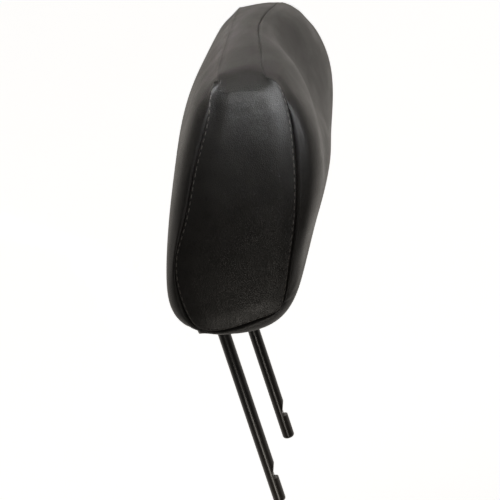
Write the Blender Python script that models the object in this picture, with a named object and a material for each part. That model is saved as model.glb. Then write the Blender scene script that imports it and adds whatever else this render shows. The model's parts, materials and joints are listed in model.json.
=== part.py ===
"""Chair headrest attachment: an upholstered pillow that tilts on a cross tube carried by two round posts.

The origin is midway between the tips of the two posts. +Z runs up the posts, -Y is the side that the
head rests on, and X runs across. Sizes are in millimetres until they enter a mesh, which is in metres.
"""

import math

import bmesh
import bpy
import numpy as np
from mathutils import Vector
from mathutils.bvhtree import BVHTree

MM = 0.001
GAP = 0.3  # left between pieces that touch
SEGMENTS = 32
FASTENER_SEGMENTS = 20

# Posts, with one latch notch each
POST_SPACING = 132.0
POST_RADIUS = 5.0
TIP_FLAT_RADIUS = 2.6
TIP_ROUNDING = 2.4
NOTCH_STEP_HEIGHT = 21.0
NOTCH_WALL_TOP = 24.0
NOTCH_RAMP_HEIGHT = 33.5
NOTCH_DEPTH = 3.6

# Cross tube, whose axis the pillow tilts about
PIVOT_HEIGHT = 222.0
TUBE_RADIUS = 8.0
TUBE_WALL = 2.0
TUBE_LENGTH = 150.0
POST_ABOVE_TUBE = 1.5

# Friction bushes and the steel clamps round them
CLAMP_OFFSET = 30.0
BUSH_RADIUS = 10.8
BUSH_WIDTH = 22.0
BUSH_SLIT = 1.6
CLAMP_THICKNESS = 2.0
CLAMP_WIDTH = 18.0
CLAMP_FOOT_REACH = 31.0
SCREW_OFFSET = 23.0
SCREW_RADIUS = 2.2
SCREW_HEAD_RADIUS = 4.2
SCREW_HEAD_HEIGHT = 2.6
TEE_NUT_RADIUS = 8.0
TEE_NUT_BARREL = 3.6

# Backing board, in front of the tube and leaning with the pillow
BOARD_THICKNESS = 8.0
BOARD_HALF_WIDTH = 98.0
BOARD_TONGUE_HALF_WIDTH = 50.0
BOARD_BOTTOM = 12.0
BOARD_SHOULDER = 66.0
BOARD_TOP = 176.0
BOARD_CORNER = 16.0

# Tilt stop: a finger on the tube moves between two rubber pads in the board's window
TILT_RANGE = 20.0
STOP_COLLAR_RADIUS = 11.0
STOP_WIDTH = 12.0
STOP_FINGER_REACH = 21.0
STOP_FINGER_THICKNESS = 5.0
STOP_PAD_THICKNESS = 2.0

# Slots in the bottom, with the plastic bezels that line them
SLOT_HALF_WIDTH = 7.0
SLOT_REAR = 7.5
SLOT_FRONT = -31.0
BEZEL_WALL = 1.4
BEZEL_RIM = 3.4
BEZEL_RIM_THICKNESS = 1.1
BEZEL_COLLAR = 8.0
BEZEL_CLEARANCE = 0.6

# Upholstery
COVER_THICKNESS = 2.2
SEAM_GAP = 0.25
FOAM_INSET = COVER_THICKNESS + GAP + 0.1
STRIP_THICKNESS = 1.6
STRIP_DEPTH = 5.6
STRIP_HOOK = 3.0
SIDE_CROWN = 4.0

# The pillow leans forward. Its own axes start from this point: depth to the rear and height along the lean
LEAN = math.radians(23.0)
LEAN_Y = -8.0
LEAN_Z = 167.0

# Control points round the pillow, from the rear bottom edge under it, up the front, over the top and
# down the back: centre (depth, height), wing (x, depth, height) and side seam (x, depth, height)
STATIONS = (
    ((14, -4), (100, 9, -2), (134, 18, 2)),
    ((-14, 3), (100, -16, 2), (134, -6, 7)),
    ((-40, 14), (100, -41, 8), (134, -30, 22)),
    ((-57, 34), (100, -58, 36), (134, -47, 28)),
    ((-62, 78), (100, -57, 78), (134, -46, 60)),
    ((-72, 119), (100, -66, 113), (134, -49, 105)),
    ((-55, 160), (115, -64, 167), (134, -42, 159)),
    ((-29, 199), (98, -32, 206), (131, -31, 198)),
    ((5, 222), (80, -10, 218), (120, -21, 210)),
    ((21, 209), (80, 26, 204), (122, 32, 204)),
    ((45, 180), (95, 42, 180), (131, 23, 179)),
    ((56, 135), (100, 47, 135), (134, 33, 137)),
    ((54, 88), (100, 51, 88), (134, 34, 91)),
    ((52, 37), (100, 48, 36), (134, 44, 59)),
    ((42, 4), (100, 43, 4), (134, 31, 19)),
)
INNER_X = 50.0
DISH_EDGE = {4: (-1, 0), 5: (-1, -1), 6: (7, -3), 7: (-10, 9), 8: (2, 2)}  # shifts from midway to the wing
SHOULDER = {8: 0.88, 9: 0.88}  # the top corners are rounder than the other edges
COLUMNS = 9
BOTTOM_FRONT = 3.0
TOP_FRONT_SEAM = 8.0
TOP_REAR_SEAM = 9.0
CLOSURE_BOW = 0.42  # how far the closure line bows to the rear at the middle

ACROSS_STEPS = 16
HEIGHT_STEPS = 12
DEPTH_STEPS = 5
SIDES = (("left", -1), ("right", 1))


# ---------------------------------------------------------------- helpers


def material(name, colour, roughness, metallic=0.0):
    made = bpy.data.materials.new(name)
    made.use_nodes = True
    shader = made.node_tree.nodes["Principled BSDF"]
    shader.inputs["Base Color"].default_value = (*colour, 1.0)
    shader.inputs["Roughness"].default_value = roughness
    shader.inputs["Metallic"].default_value = metallic
    return made


def to_world(x, depth, height):
    """World position, in mm, of a point given in the leaning pillow's own axes."""
    return np.array(
        [
            x,
            LEAN_Y + depth * math.cos(LEAN) - height * math.sin(LEAN),
            LEAN_Z + depth * math.sin(LEAN) + height * math.cos(LEAN),
        ]
    )


def to_lean(y, z):
    """(depth, height) in the leaning pillow's axes of a world point."""
    dy, dz = y - LEAN_Y, z - LEAN_Z
    return (
        dy * math.cos(LEAN) + dz * math.sin(LEAN),
        -dy * math.sin(LEAN) + dz * math.cos(LEAN),
    )


PIVOT_DEPTH, PIVOT_LEVEL = to_lean(0.0, PIVOT_HEIGHT)
BOARD_REAR = PIVOT_DEPTH - BUSH_RADIUS - GAP
BOARD_FRONT = BOARD_REAR - BOARD_THICKNESS


def new_object(name, points, faces, finish, parent):
    """A closed mesh from world points in mm, with its origin on its parent."""
    origin = Vector(parent.location)
    mesh = bpy.data.meshes.new(name)
    mesh.from_pydata([Vector(p) * MM - origin for p in points], [], faces)
    shape = bmesh.new()
    shape.from_mesh(mesh)
    bmesh.ops.recalc_face_normals(shape, faces=shape.faces)
    shape.to_mesh(mesh)
    shape.free()
    mesh.shade_smooth()
    mesh.set_sharp_from_angle(angle=math.radians(35))
    made = bpy.data.objects.new(name, mesh)
    made.parent = parent
    bpy.context.scene.collection.objects.link(made)
    if finish:
        mesh.materials.append(finish)
    else:
        made.hide_render = True
        made.display_type = "WIRE"
    return made


def rings_to_faces(ring_count, ring_size, closed):
    """Faces of a tube of rings: a closed loop of rings, or an open one with both ends capped."""
    faces = []
    for r in range(ring_count if closed else ring_count - 1):
        a, b = r * ring_size, (r + 1) % ring_count * ring_size
        for k in range(ring_size):
            n = (k + 1) % ring_size
            faces.append((a + k, a + n, b + n, b + k))
    if not closed:
        faces.append(tuple(range(ring_size)))
        faces.append(tuple(range((ring_count - 1) * ring_size, ring_count * ring_size)))
    return faces


def from_rings(name, rings, finish, parent, closed=False):
    points = [p for ring in rings for p in ring]
    faces = rings_to_faces(len(rings), len(rings[0]), closed)
    return new_object(name, points, faces, finish, parent)


def prism(name, outline, x0, x1, finish, parent, place=to_world):
    """An outline in (depth, height), or in what place takes, extruded along X."""
    rings = [[place(x, a, b) for a, b in outline] for x in (x0, x1)]
    return from_rings(name, rings, finish, parent)


def upright_prism(name, outline, z0, z1, finish, parent):
    """An outline in (x, y) extruded along Z."""
    rings = [[(x, y, z) for x, y in outline] for z in (z0, z1)]
    return from_rings(name, rings, finish, parent)


def world_section(x, y, z):
    return np.array([x, y, z])


def arc(centre, radius, start, end, steps):
    """Points along an arc, with the angles in degrees."""
    angles = [math.radians(start + (end - start) * k / steps) for k in range(steps + 1)]
    return [(centre[0] + radius * math.cos(a), centre[1] + radius * math.sin(a)) for a in angles]


def turned_points(profile, centre, axis, side, segments=SEGMENTS):
    """Rings of a turned solid: profile is (radius, distance along axis) pairs."""
    across = axis.cross(side)
    rings = []
    for radius, along in profile:
        ring = []
        for k in range(segments):
            a = 2 * math.pi * k / segments
            ring.append(centre + axis * along + (side * math.cos(a) + across * math.sin(a)) * radius)
        rings.append(ring)
    return rings


def boolean(target, cutter, operation="DIFFERENCE"):
    step = target.modifiers.new(cutter.name, "BOOLEAN")
    step.operation = operation
    step.solver = "EXACT"
    step.object = cutter


def lean_axis():
    """Unit vector to the pillow's rear, square to its lean."""
    return Vector((0.0, math.cos(LEAN), math.sin(LEAN)))


# ---------------------------------------------------------------- the pillow's skin


def loop_weights(t):
    """Weights of the stations at places t round the pillow: a closed uniform cubic B-spline."""
    t = np.mod(np.atleast_1d(t), len(STATIONS))
    first = np.floor(t).astype(int)
    f = t - first
    parts = (
        (1 - f) ** 3,
        3 * f**3 - 6 * f**2 + 4,
        -3 * f**3 + 3 * f**2 + 3 * f + 1,
        f**3,
    )
    weights = np.zeros((len(t), len(STATIONS)))
    for k, part in enumerate(parts):
        weights[np.arange(len(t)), (first - 1 + k) % len(STATIONS)] += part / 6
    return weights


def across_weights(s):
    """Weights of the columns at places s from the left seam, 0, to the right seam, 1: a clamped cubic B-spline."""
    degree = 3
    inner = np.linspace(0, 1, COLUMNS - degree + 1)
    knots = np.concatenate([[0] * degree, inner, [1] * degree])
    s = np.clip(np.atleast_1d(s), 0, 1 - 1e-9)
    basis = [((s >= a) & (s < b)).astype(float) for a, b in zip(knots[:-1], knots[1:])]
    for p in range(1, degree + 1):
        raised = []
        for i in range(len(basis) - 1):
            rise, fall = knots[i + p] - knots[i], knots[i + p + 1] - knots[i + 1]
            term = np.zeros_like(s)
            if rise > 0:
                term += (s - knots[i]) / rise * basis[i]
            if fall > 0:
                term += (knots[i + p + 1] - s) / fall * basis[i + 1]
            raised.append(term)
        basis = raised
    return np.stack(basis, 1)


def control_net():
    """The control points, station by column, from the left seam over the centre to the right seam."""
    net = np.zeros((len(STATIONS), COLUMNS, 3))
    for row, (centre, wing, seam) in enumerate(STATIONS):
        lift = DISH_EDGE.get(row, (0, 0))
        inner = [(c + w) / 2 + up for c, w, up in zip(centre, wing[1:], lift)]
        shoulder = [0.8 * w + 0.2 * e for w, e in zip(wing[1:], seam[1:])]
        half = (
            (0.0, *centre),
            (INNER_X, *inner),
            wing,
            (seam[0] * SHOULDER.get(row, 0.99), *shoulder),
            seam,
        )
        for k, (x, depth, height) in enumerate(half):
            net[row, 4 - k] = to_world(-x, depth, height)
            net[row, 4 + k] = to_world(x, depth, height)
    return net


NET = control_net()


def skin(t, s):
    """Point on the pillow's outer surface at station t and place s across."""
    return (loop_weights(t)[0][:, None, None] * NET).sum(0).T @ across_weights(s)[0]


def closure(s):
    """Station of the line where the front and back covers meet under the pillow."""
    return -CLOSURE_BOW * (1 - abs(2 * s - 1) ** 4)


def row_station(row, s):
    """Station of a row of the skin mesh, which runs bottom, front, top and back."""
    sections = (
        (DEPTH_STEPS, closure(s), BOTTOM_FRONT),
        (HEIGHT_STEPS, BOTTOM_FRONT, TOP_FRONT_SEAM),
        (DEPTH_STEPS, TOP_FRONT_SEAM, TOP_REAR_SEAM),
        (HEIGHT_STEPS, TOP_REAR_SEAM, len(STATIONS) + closure(s)),
    )
    for steps, start, end in sections:
        if row < steps:
            return start + (end - start) * row / steps
        row -= steps
    return len(STATIONS) + closure(s)


def skin_mesh():
    """The whole skin as one closed mesh of triangles: (points, {panel: faces})."""
    across = [k / ACROSS_STEPS - 0.05 * math.sin(2 * math.pi * k / ACROSS_STEPS) for k in range(ACROSS_STEPS + 1)]
    rows = 2 * (DEPTH_STEPS + HEIGHT_STEPS)
    columns = len(across)
    points = [skin(row_station(r, s), s) for r in range(rows) for s in across]
    panels = {"front_cover": [], "side_gusset": [], "back_cover": []}
    for r in range(rows):
        if r < DEPTH_STEPS + HEIGHT_STEPS:
            panel = "front_cover"
        elif r < 2 * DEPTH_STEPS + HEIGHT_STEPS:
            panel = "side_gusset"
        else:
            panel = "back_cover"
        for c in range(columns - 1):
            a, b = r * columns + c, (r + 1) % rows * columns + c
            if 2 * c < columns - 1:
                panels[panel] += [(a, a + 1, b), (a + 1, b + 1, b)]
            else:
                panels[panel] += [(a, a + 1, b + 1), (a, b + 1, b)]
    for column, side in ((0, -1), (columns - 1, 1)):
        grid = side_grid(points, rows, columns, column, side)
        for high in range(HEIGHT_STEPS):
            for deep in range(DEPTH_STEPS):
                a, b = grid[high][deep], grid[high][deep + 1]
                c, d = grid[high + 1][deep + 1], grid[high + 1][deep]
                panels["side_gusset"] += [(a, b, c), (a, c, d)]
    return points, panels


def side_grid(points, rows, columns, column, side):
    """Fills the opening at one side with a crowned patch, adding its points, and returns their numbers."""

    def edge(row):
        return row % rows * columns + column

    front_top = DEPTH_STEPS + HEIGHT_STEPS
    grid = [[0] * (DEPTH_STEPS + 1) for _ in range(HEIGHT_STEPS + 1)]
    for high in range(HEIGHT_STEPS + 1):
        grid[high][0] = edge(DEPTH_STEPS + high)
        grid[high][DEPTH_STEPS] = edge(rows - high)
    for deep in range(DEPTH_STEPS + 1):
        grid[0][deep] = edge(DEPTH_STEPS - deep)
        grid[HEIGHT_STEPS][deep] = edge(front_top + deep)
    for high in range(1, HEIGHT_STEPS):
        v = high / HEIGHT_STEPS
        for deep in range(1, DEPTH_STEPS):
            u = deep / DEPTH_STEPS
            between_sides = (1 - u) * points[grid[high][0]] + u * points[grid[high][-1]]
            between_ends = (1 - v) * points[grid[0][deep]] + v * points[grid[-1][deep]]
            lower = (1 - u) * points[grid[0][0]] + u * points[grid[0][-1]]
            upper = (1 - u) * points[grid[-1][0]] + u * points[grid[-1][-1]]
            point = between_sides + between_ends - (1 - v) * lower - v * upper
            point[0] += side * SIDE_CROWN * 4 * u * (1 - u) * math.sin(math.pi * v)
            grid[high][deep] = len(points)
            points.append(point)
    return grid


def wind_outwards(points, panels):
    """The panels with every face wound outwards, and the unit normal pointing in at each point of the skin."""
    mesh = bpy.data.meshes.new("skin_normals")
    faces = [face for group in panels.values() for face in group]
    mesh.from_pydata([Vector(p) for p in points], [], faces)
    shape = bmesh.new()
    shape.from_mesh(mesh)
    bmesh.ops.recalc_face_normals(shape, faces=shape.faces)
    shape.normal_update()
    normals = [-np.array(v.normal) for v in shape.verts]
    wound = iter([tuple(v.index for v in face.verts) for face in shape.faces])
    panels = {name: [next(wound) for _ in group] for name, group in panels.items()}
    shape.free()
    bpy.data.meshes.remove(mesh)
    return panels, normals


def panel_solid(name, points, normals, faces, finish, parent):
    """One panel of the cover, drawn back a little from its seams and given its thickness inwards."""
    used = sorted({v for face in faces for v in face})
    number = {v: k for k, v in enumerate(used)}
    sides = {}
    for face in faces:
        for a, b in zip(face, face[1:] + face[:1]):
            sides[(a, b)] = face
    border = [(a, b) for a, b in sides if (b, a) not in sides]
    on_border = {v for edge in border for v in edge}
    centres = {v: [] for v in on_border}
    for face in faces:
        middle = sum(points[v] for v in face) / len(face)
        for v in on_border.intersection(face):
            centres[v].append(middle)
    outer = []
    for v in used:
        point = np.array(points[v])
        if v in on_border:
            pull = sum(centres[v]) / len(centres[v]) - point
            point = point + pull / np.linalg.norm(pull) * SEAM_GAP
        outer.append(point)
    inner = [p + normals[v] * COVER_THICKNESS for p, v in zip(outer, used)]
    count = len(used)
    solid = [tuple(number[v] for v in face) for face in faces]
    solid += [tuple(number[v] + count for v in reversed(face)) for face in faces]
    solid += [(number[b], number[a], number[a] + count, number[b] + count) for a, b in border]
    return new_object(name, outer + inner, solid, finish, parent)


# ---------------------------------------------------------------- posts and tilt mechanism


def build_post(name, side, finish, parent):
    x = side * POST_SPACING / 2
    top = PIVOT_HEIGHT + TUBE_RADIUS + POST_ABOVE_TUBE
    profile = [(TIP_FLAT_RADIUS, 0.0)]
    turn = arc((TIP_FLAT_RADIUS, TIP_ROUNDING), TIP_ROUNDING, -67.5, 0, 3)
    profile += turn
    profile += [(POST_RADIUS, top - 0.8), (POST_RADIUS - 0.8, top)]
    rings = turned_points(profile, Vector((x, 0, 0)), Vector((0, 0, 1)), Vector((1, 0, 0)))
    post = from_rings(name, rings, finish, parent)
    floor = NOTCH_DEPTH - POST_RADIUS
    clear = -POST_RADIUS - 2
    ramp_end = NOTCH_RAMP_HEIGHT + 2 * (NOTCH_RAMP_HEIGHT - NOTCH_WALL_TOP) / NOTCH_DEPTH
    outline = [(clear, NOTCH_STEP_HEIGHT), (floor, NOTCH_STEP_HEIGHT), (floor, NOTCH_WALL_TOP)]
    outline.append((clear, ramp_end))
    notch = prism(name + "_notch", outline, x - 7, x + 7, None, parent, world_section)
    boolean(post, notch)


def build_cross_tube(finish, parent):
    half = TUBE_LENGTH / 2
    inner = TUBE_RADIUS - TUBE_WALL
    profile = [(TUBE_RADIUS, -half), (TUBE_RADIUS, half), (inner, half), (inner, -half)]
    rings = turned_points(profile, Vector((0, 0, PIVOT_HEIGHT)), Vector((1, 0, 0)), Vector((0, 1, 0)))
    tube = from_rings("cross_tube", rings, finish, parent, closed=True)
    for name, side in SIDES:
        profile = [(POST_RADIUS + GAP, -15.0), (POST_RADIUS + GAP, 15.0)]
        centre = Vector((side * POST_SPACING / 2, 0, PIVOT_HEIGHT))
        rings = turned_points(profile, centre, Vector((0, 0, 1)), Vector((1, 0, 0)))
        boolean(tube, from_rings(name + "_post_hole", rings, None, parent))


def build_stop_collar(finish, parent):
    """A ring fixed on the tube, with the finger that works in the board's window."""
    inner = TUBE_RADIUS + GAP
    start = math.radians(180 + TILT_RANGE / 2)
    aim = np.array([math.cos(start), math.sin(start)])
    square = np.array([-aim[1], aim[0]])
    half = STOP_FINGER_THICKNESS / 2
    spread = math.degrees(math.asin(half / STOP_COLLAR_RADIUS))
    middle = math.degrees(start)
    outer = arc((0, 0), STOP_COLLAR_RADIUS, middle + spread, middle + 360 - spread, SEGMENTS)
    tip = [aim * STOP_FINGER_REACH - square * half, aim * STOP_FINGER_REACH + square * half]
    outline = outer + [tuple(p) for p in tip]
    placed = [(PIVOT_DEPTH + a, PIVOT_LEVEL + b) for a, b in outline]
    collar = prism("stop_collar", placed, -STOP_WIDTH / 2, STOP_WIDTH / 2, finish, parent)
    bore_profile = [(inner, -STOP_WIDTH), (inner, STOP_WIDTH)]
    centre = Vector((0, 0, PIVOT_HEIGHT))
    rings = turned_points(bore_profile, centre, Vector((1, 0, 0)), Vector((0, 1, 0)))
    boolean(collar, from_rings("stop_collar_bore", rings, None, parent))


def build_bush(name, side, finish, parent):
    """A split nylon ring that grips the tube and gives the tilt its friction."""
    slit = math.degrees(BUSH_SLIT / 2 / BUSH_RADIUS)
    centre = (PIVOT_DEPTH, PIVOT_LEVEL)
    outer = arc(centre, BUSH_RADIUS, 180 + slit, 540 - slit, SEGMENTS)
    inner = arc(centre, TUBE_RADIUS + GAP, 540 - slit, 180 + slit, SEGMENTS)
    x = side * CLAMP_OFFSET
    prism(name, outer + inner, x - BUSH_WIDTH / 2, x + BUSH_WIDTH / 2, finish, parent)


def build_clamp(name, side, finish, parent):
    """An omega-shaped steel strap that holds a bush down on the board."""
    centre = (PIVOT_DEPTH, PIVOT_LEVEL)
    inner = BUSH_RADIUS + GAP
    outer = inner + CLAMP_THICKNESS
    foot = BOARD_REAR + GAP
    low, high = PIVOT_LEVEL - CLAMP_FOOT_REACH, PIVOT_LEVEL + CLAMP_FOOT_REACH
    outline = [(foot, high), (foot + CLAMP_THICKNESS, high), (foot + CLAMP_THICKNESS, PIVOT_LEVEL + outer)]
    outline += arc(centre, outer, 90, -90, 16)
    outline += [(foot + CLAMP_THICKNESS, PIVOT_LEVEL - outer), (foot + CLAMP_THICKNESS, low), (foot, low)]
    outline += [(foot, PIVOT_LEVEL - inner)]
    outline += arc(centre, inner, -90, 90, 16)
    outline += [(foot, PIVOT_LEVEL + inner)]
    x = side * CLAMP_OFFSET
    clamp = prism(name, outline, x - CLAMP_WIDTH / 2, x + CLAMP_WIDTH / 2, finish, parent)
    for level, centre_point in screw_places(side):
        profile = [(SCREW_RADIUS + 0.4, BOARD_REAR - 2), (SCREW_RADIUS + 0.4, BOARD_REAR + 6)]
        rings = turned_points(profile, centre_point, lean_axis(), Vector((1, 0, 0)))
        boolean(clamp, from_rings(f"{name}_hole_{level}", rings, None, parent))


def screw_places(side):
    """Label and axis point, at depth zero, of the two screws of one clamp."""
    x = side * CLAMP_OFFSET
    for label, offset in (("upper", SCREW_OFFSET), ("lower", -SCREW_OFFSET)):
        yield label, Vector(to_world(x, 0.0, PIVOT_LEVEL + offset))


def build_fasteners(finish, parent):
    """The clamp screws and the tee nuts that they turn into."""
    seat = BOARD_REAR + 2 * GAP + CLAMP_THICKNESS
    end = BOARD_FRONT - 1.0
    screw = [(SCREW_RADIUS - 0.5, end), (SCREW_RADIUS, end + 0.8), (SCREW_RADIUS, seat)]
    screw += [(SCREW_HEAD_RADIUS, seat), (SCREW_HEAD_RADIUS, seat + SCREW_HEAD_HEIGHT - 0.8)]
    screw += [(SCREW_HEAD_RADIUS - 0.8, seat + SCREW_HEAD_HEIGHT)]
    bore = SCREW_RADIUS + GAP
    face = BOARD_FRONT - GAP
    nut = [(bore, face - 1.2), (TEE_NUT_RADIUS, face - 1.2), (TEE_NUT_RADIUS, face)]
    nut += [(TEE_NUT_BARREL, face), (TEE_NUT_BARREL, BOARD_FRONT + 6.0), (bore, BOARD_FRONT + 6.0)]
    for name, side in SIDES:
        for label, centre in screw_places(side):
            place = (centre, lean_axis(), Vector((1, 0, 0)), FASTENER_SEGMENTS)
            from_rings(f"{name}_{label}_screw", turned_points(screw, *place), finish, parent)
            from_rings(f"{name}_{label}_tee_nut", turned_points(nut, *place), finish, parent, closed=True)


def rounded(corners, radius, steps=4):
    """A closed outline with each corner rounded, whether it points out or in."""
    outline = []
    for k, corner in enumerate(corners):
        here = np.array(corner, float)
        back = np.array(corners[k - 1], float) - here
        ahead = np.array(corners[(k + 1) % len(corners)], float) - here
        start = here + back / np.linalg.norm(back) * radius
        end = here + ahead / np.linalg.norm(ahead) * radius
        for i in range(steps + 1):
            f = i / steps
            outline.append(tuple((1 - f) ** 2 * start + 2 * f * (1 - f) * here + f**2 * end))
    return outline


def board_outline(margin=0.0):
    """(x, height) outline of the board: a wide upper part, with a tongue that passes between the posts."""
    wide, tongue = BOARD_HALF_WIDTH + margin, BOARD_TONGUE_HALF_WIDTH + margin
    low, shoulder, top = BOARD_BOTTOM - margin, BOARD_SHOULDER - margin, BOARD_TOP + margin
    corners = [(-tongue, low), (tongue, low), (tongue, shoulder), (wide, shoulder)]
    corners += [(wide, top), (-wide, top), (-wide, shoulder), (-tongue, shoulder)]
    return rounded(corners, BOARD_CORNER)


def board_slab(name, outline, near, far, finish, parent):
    """An (x, height) outline extruded through the pillow's depth."""
    rings = [[to_world(x, depth, height) for x, height in outline] for depth in (near, far)]
    return from_rings(name, rings, finish, parent)


def box_outline(x0, x1, low, high):
    return [(x0, low), (x1, low), (x1, high), (x0, high)]


def build_board(finish, pad_finish, parent):
    board = board_slab("backing_board", board_outline(), BOARD_FRONT, BOARD_REAR, finish, parent)
    reach = PIVOT_DEPTH - BOARD_FRONT
    swing = reach * math.tan(math.radians(TILT_RANGE / 2))
    open_half = swing + STOP_FINGER_THICKNESS / 2 / math.cos(math.radians(TILT_RANGE / 2)) + GAP
    window_half = open_half + STOP_PAD_THICKNESS + GAP
    half_width = STOP_WIDTH / 2 + 2
    outline = box_outline(-half_width, half_width, PIVOT_LEVEL - window_half, PIVOT_LEVEL + window_half)
    boolean(board, board_slab("stop_window", outline, BOARD_FRONT - 2, BOARD_REAR + 2, None, parent))
    for name, side in SIDES:
        for label, centre in screw_places(side):
            hole = TEE_NUT_BARREL + GAP
            rings = turned_points(
                [(hole, BOARD_FRONT - 2), (hole, BOARD_REAR + 2)], centre, lean_axis(), Vector((1, 0, 0))
            )
            boolean(board, from_rings(f"{name}_{label}_board_hole", rings, None, parent))
    for name, side in (("lower", -1), ("upper", 1)):
        low, high = sorted((side * open_half, side * (open_half + STOP_PAD_THICKNESS)))
        pad = box_outline(-half_width + GAP, half_width - GAP, PIVOT_LEVEL + low, PIVOT_LEVEL + high)
        board_slab(name + "_stop_pad", pad, BOARD_FRONT + 0.5, BOARD_REAR - 0.5, pad_finish, parent)


# ---------------------------------------------------------------- upholstery


def slot_outline(side, margin, turn_steps=8, side_steps=8):
    """(x, y) outline of a post's slot: two half circles joined by sides that the bezel bends along."""
    x = side * POST_SPACING / 2
    radius = SLOT_HALF_WIDTH
    rear, front = SLOT_REAR - radius, SLOT_FRONT + radius
    run = [rear + (front - rear) * k / side_steps for k in range(1, side_steps)]
    outline = arc((x, rear), radius + margin, 0, 180, turn_steps)
    outline += [(x - radius - margin, y) for y in run]
    outline += arc((x, front), radius + margin, 180, 360, turn_steps)
    outline += [(x + radius + margin, y) for y in reversed(run)]
    return outline


def build_bezel(name, side, tree, finish, parent):
    """A plastic lining for a post's slot, with a rim outside the cover and a collar inside it."""
    below = -BEZEL_CLEARANCE
    profile = (
        (0.0, below - BEZEL_RIM_THICKNESS),
        (BEZEL_RIM - 0.5, below - BEZEL_RIM_THICKNESS),
        (BEZEL_RIM, below),
        (BEZEL_WALL, below),
        (BEZEL_WALL, BEZEL_COLLAR),
        (0.0, BEZEL_COLLAR),
    )
    loops = [slot_outline(side, margin) for margin, _ in profile]
    rings = []
    for k in range(len(loops[0])):
        ring = []
        for (_, rise), loop in zip(profile, loops):
            x, y = loop[k]
            underside = tree.ray_cast(Vector((x, y, 0)), Vector((0, 0, 1)))[0].z
            ring.append((x, y, underside + rise))
        rings.append(ring)
    from_rings(name, rings, finish, parent, closed=True)


def sweep_along_closure(name, profile, finish, parent, reach=0.76, steps=14):
    """A profile of (distance to the front, height above the skin) swept along the closure line."""
    rings = []
    for k in range(steps + 1):
        s = 0.5 + reach * (k / steps - 0.5)
        place = closure(s)
        point = skin(place, s)
        along = skin(place + 0.01, s) - point
        along /= np.linalg.norm(along)
        rings.append([point + along * a + np.array([0, 0, b]) for a, b in profile])
    return from_rings(name, rings, finish, parent)


def build_closure_strips(finish, parent):
    """Two plastic strips sewn to the covers' edges: the front one hooks over the rear one."""
    near = COVER_THICKNESS + 2.4
    top = near + STRIP_DEPTH
    edge = GAP / 2
    wide = edge + STRIP_THICKNESS
    rear = ((-edge, near), (-edge, top), (-wide, top), (-wide, near))
    front = (
        (edge, near),
        (wide, near),
        (wide, top + GAP + STRIP_THICKNESS),
        (-STRIP_HOOK, top + GAP + STRIP_THICKNESS),
        (-STRIP_HOOK, top + GAP),
        (edge, top + GAP),
    )
    sweep_along_closure("rear_closure_strip", rear, finish, parent)
    sweep_along_closure("front_closure_strip", front, finish, parent)
    room = 1.0
    recess = (
        (-STRIP_HOOK - room, 0.0),
        (wide + room, 0.0),
        (wide + room, top + STRIP_THICKNESS + 2 * room),
        (-STRIP_HOOK - room, top + STRIP_THICKNESS + 2 * room),
    )
    return sweep_along_closure("closure_recess", recess, None, parent, reach=0.8)


def post_channel(name, side, parent):
    """The space that a post needs inside the foam over the whole tilt."""
    x = side * POST_SPACING / 2
    half = SLOT_HALF_WIDTH + BEZEL_WALL + 0.8
    front, rear = SLOT_FRONT - BEZEL_WALL - 0.8, SLOT_REAR + BEZEL_WALL + 0.8
    low, bend, top = PIVOT_HEIGHT - 75, PIVOT_HEIGHT - 42, PIVOT_HEIGHT + 4
    outline = [(front, low), (rear, low), (rear, top), (-rear, top), (front, bend)]
    return prism(name, outline, x - half, x + half, None, parent, world_section)


def build_foam(points, normals, panels, recess, finish, parent):
    """The front and rear foams: the skin's shape, set in, and parted at the board's front face."""
    inset = [p + n * FOAM_INSET for p, n in zip(points, normals)]
    faces = [face for group in panels.values() for face in group]
    split = BOARD_FRONT - GAP / 2
    whole = box_outline(-170, 170, -40, 260)
    foams = {}
    for name, near, far in (("front_foam", -120.0, split - GAP / 2), ("rear_foam", split + GAP / 2, 120.0)):
        foams[name] = new_object(name, inset, faces, finish, parent)
        boolean(foams[name], board_slab(name + "_half", whole, near, far, None, parent), "INTERSECT")
    clear = 1.5
    finger = STOP_FINGER_REACH - (PIVOT_DEPTH - BOARD_FRONT)
    nuts = CLAMP_OFFSET + TEE_NUT_RADIUS + clear, SCREW_OFFSET + TEE_NUT_RADIUS + clear
    shallow = box_outline(-nuts[0], nuts[0], PIVOT_LEVEL - nuts[1], PIVOT_LEVEL + nuts[1])
    depth = BOARD_FRONT - finger - clear
    boolean(foams["front_foam"], board_slab("nut_recess", shallow, depth, BOARD_FRONT + 5, None, parent))
    deep = PIVOT_DEPTH + BUSH_RADIUS + GAP + CLAMP_THICKNESS + clear
    clamps = CLAMP_OFFSET + BUSH_WIDTH / 2 + clear
    foot = CLAMP_FOOT_REACH + clear
    mechanism = box_outline(-clamps, clamps, PIVOT_LEVEL - foot, PIVOT_LEVEL + foot)
    tube = box_outline(-TUBE_LENGTH / 2 - clear, TUBE_LENGTH / 2 + clear, PIVOT_LEVEL - 14, PIVOT_LEVEL + 14)
    behind_tube = PIVOT_DEPTH + TUBE_RADIUS + 2 * clear
    pockets = [
        board_slab("board_pocket", board_outline(GAP), BOARD_FRONT - 5, BOARD_REAR + GAP, None, parent),
        board_slab("clamp_pocket", mechanism, BOARD_FRONT - 6, deep, None, parent),
        board_slab("tube_pocket", tube, BOARD_FRONT - 7, behind_tube, None, parent),
    ]
    for pocket in pockets:
        boolean(foams["rear_foam"], pocket)
    for foam in foams.values():
        for name, side in SIDES:
            boolean(foam, post_channel(f"{foam.name}_{name}_channel", side, parent))
        boolean(foam, recess)


def build_covers(points, normals, panels, finish, parent):
    for panel, faces in panels.items():
        cover = panel_solid(panel, points, normals, faces, finish, parent)
        if panel == "front_cover":
            for name, side in SIDES:
                outline = slot_outline(side, BEZEL_WALL + GAP)
                hole = upright_prism(f"{name}_slot_hole", outline, 140.0, 200.0, None, parent)
                boolean(cover, hole)


# ---------------------------------------------------------------- assembly


def clear_scene():
    for old in list(bpy.data.objects):
        bpy.data.objects.remove(old)


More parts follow.
